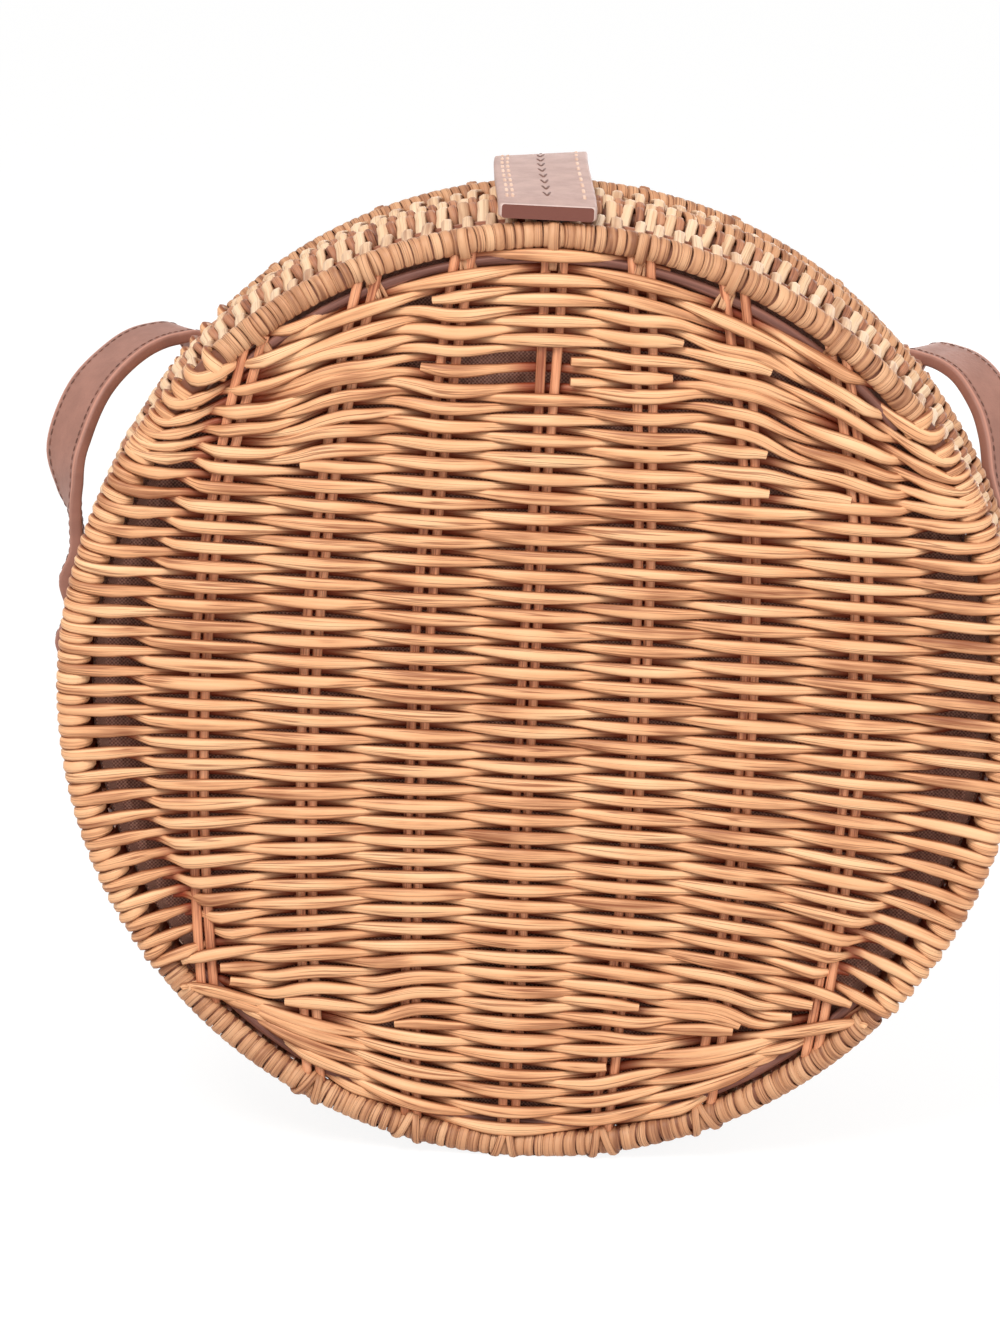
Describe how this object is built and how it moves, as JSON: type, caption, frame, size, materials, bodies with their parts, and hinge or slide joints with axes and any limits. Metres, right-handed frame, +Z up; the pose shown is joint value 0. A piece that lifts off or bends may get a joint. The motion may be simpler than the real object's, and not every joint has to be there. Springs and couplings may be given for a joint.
{
  "type": "circle bag",
  "caption": "Round woven rattan clamshell bag with wrapped rims, a fabric lining, a leather closure tab over the top and a leather strap fixed to its sides.",
  "frame": {"origin": "on the standing surface, under the middle of the split between the halves", "axes": "+Z up, front face towards -Y, +X to the right seen from the front"},
  "size_m": [0.2326, 0.0877, 0.2151],
  "materials": {
    "rattan_weave": "oiled split rattan",
    "rattan_wall": "oiled rattan",
    "stake_rod": "oiled rattan rod",
    "hoop_rod": "plain rattan rod",
    "cane_binding": "flat cane, satin",
    "lining_fabric": "plain woven cotton",
    "tab_leather": "smooth, sewn edges",
    "strap_leather": "smooth, sewn edges",
    "hinge_leather": "plain",
    "rivet_brass": "aged",
    "catch_steel": "satin"
  },
  "bodies": {
    "back_half": {"back_face_hoop": "hoop_rod", "back_face_binding": "cane_binding", "back_lip_hoop": "hoop_rod", "back_lip_binding": "cane_binding", "back_stakes": "stake_rod", "back_face_weave": "rattan_weave", "back_side_wall": "rattan_wall", "back_lining": "lining_fabric", "back_hinge_strip": "hinge_leather", "tab_root": "tab_leather", "tab_root_rivets": "rivet_brass", "strap_left_arch": "strap_leather", "strap_right_arch": "strap_leather", "strap_left_rivets": "rivet_brass", "strap_right_rivets": "rivet_brass"},
    "front_half": {"front_face_hoop": "hoop_rod", "front_face_binding": "cane_binding", "front_lip_hoop": "hoop_rod", "front_lip_binding": "cane_binding", "front_stakes": "stake_rod", "front_face_weave": "rattan_weave", "front_side_wall": "rattan_wall", "front_lining": "lining_fabric", "front_hinge_strip": "hinge_leather", "catch_button": "catch_steel", "catch_back_plate": "catch_steel"},
    "closure_tab": {"tab_upper_leather": "tab_leather", "tab_lower_leather": "tab_leather", "tab_magnet": "catch_steel"},
    "strap_loop": {"strap_rear_loop": "strap_leather"}
  },
  "joints": [
    {"name": "front_open", "type": "hinge", "parent": "back_half", "child": "front_half", "pos_m": [0, 0, 0.0005], "axis": [1, 0, 0], "range_deg": [0, 60]},
    {"name": "tab_lift", "type": "hinge", "parent": "back_half", "child": "closure_tab", "pos_m": [0, 0.0359, 0.2129], "axis": [-1, 0, 0], "range_deg": [0, 165]},
    {"name": "strap_swing", "type": "hinge", "parent": "back_half", "child": "strap_loop", "pos_m": [0, 0.046, 0.167], "axis": [1, 0, 0], "range_deg": [0, 150]}
  ]
}
